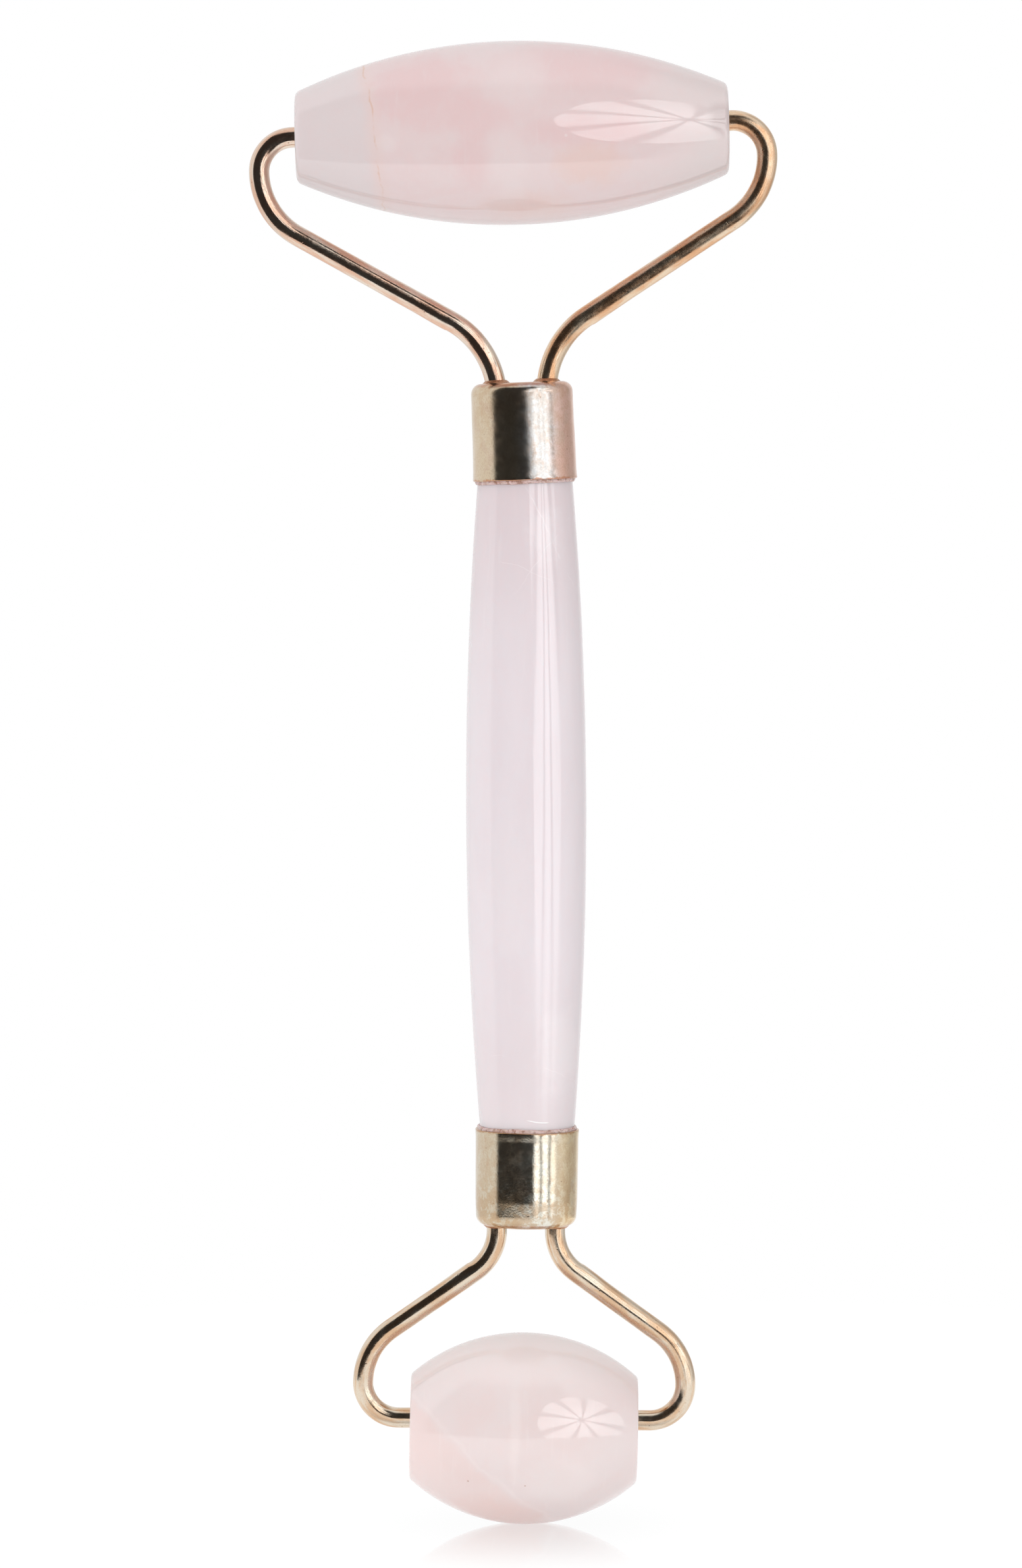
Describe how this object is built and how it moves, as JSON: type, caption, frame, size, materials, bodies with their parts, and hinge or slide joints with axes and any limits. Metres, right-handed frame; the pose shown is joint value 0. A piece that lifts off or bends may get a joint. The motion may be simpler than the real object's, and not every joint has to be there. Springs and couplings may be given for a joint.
{
  "type": "face roller",
  "caption": "Hand-held face roller: stone grip with a wire fork at each end, one fork carrying a long stone barrel and the other a short one, both spinning freely.",
  "frame": {"origin": "middle of the grip, on its axis", "axes": "+Z along the grip towards the large roller, +X along the rollers (to the right when seen from the front), -Y faces the viewer"},
  "size_m": [0.0515, 0.0188, 0.1453],
  "materials": {
    "rose_quartz_grip": "polished pale lilac-pink rose quartz",
    "rose_quartz_large": "polished cloudy rose quartz with a thin brown vein",
    "rose_quartz_small": "polished pale rose quartz",
    "rose_gold_plate": "rose-gold plated, polished with fine grain",
    "yellow_gold_plate": "yellow-gold plated, polished with fine grain",
    "rose_gold_wire": "rose-gold plated wire, finely pitted",
    "yellow_gold_wire": "yellow-gold plated wire, finely pitted",
    "copper_filler": "copper-red brazing filler",
    "clear_epoxy": "cured epoxy with a slightly yellow cast",
    "natural_nylon": "natural white nylon"
  },
  "bodies": {
    "grip_and_forks": {"handle": "rose_quartz_grip", "large_ferrule": "rose_gold_plate", "large_fork_left_arm": "rose_gold_wire", "large_fork_right_arm": "rose_gold_wire", "large_fork_braze": "copper_filler", "large_ferrule_cement": "clear_epoxy", "small_ferrule": "yellow_gold_plate", "small_fork_left_arm": "yellow_gold_wire", "small_fork_right_arm": "yellow_gold_wire", "small_fork_braze": "copper_filler", "small_ferrule_cement": "clear_epoxy"},
    "large_barrel": {"large_roller": "rose_quartz_large", "large_roller_left_bush": "natural_nylon", "large_roller_right_bush": "natural_nylon"},
    "small_barrel": {"small_roller": "rose_quartz_small", "small_roller_left_bush": "natural_nylon", "small_roller_right_bush": "natural_nylon"}
  },
  "joints": [
    {"name": "large_roller_spin", "type": "hinge", "parent": "grip_and_forks", "child": "large_barrel", "pos_m": [-0.00119, 0, 0.06593], "axis": [0.9994, 0, 0.0349], "continuous": true},
    {"name": "small_roller_spin", "type": "hinge", "parent": "grip_and_forks", "child": "small_barrel", "pos_m": [-0.00043, 0, -0.06055], "axis": [0.9999, 0, -0.0148], "continuous": true}
  ]
}
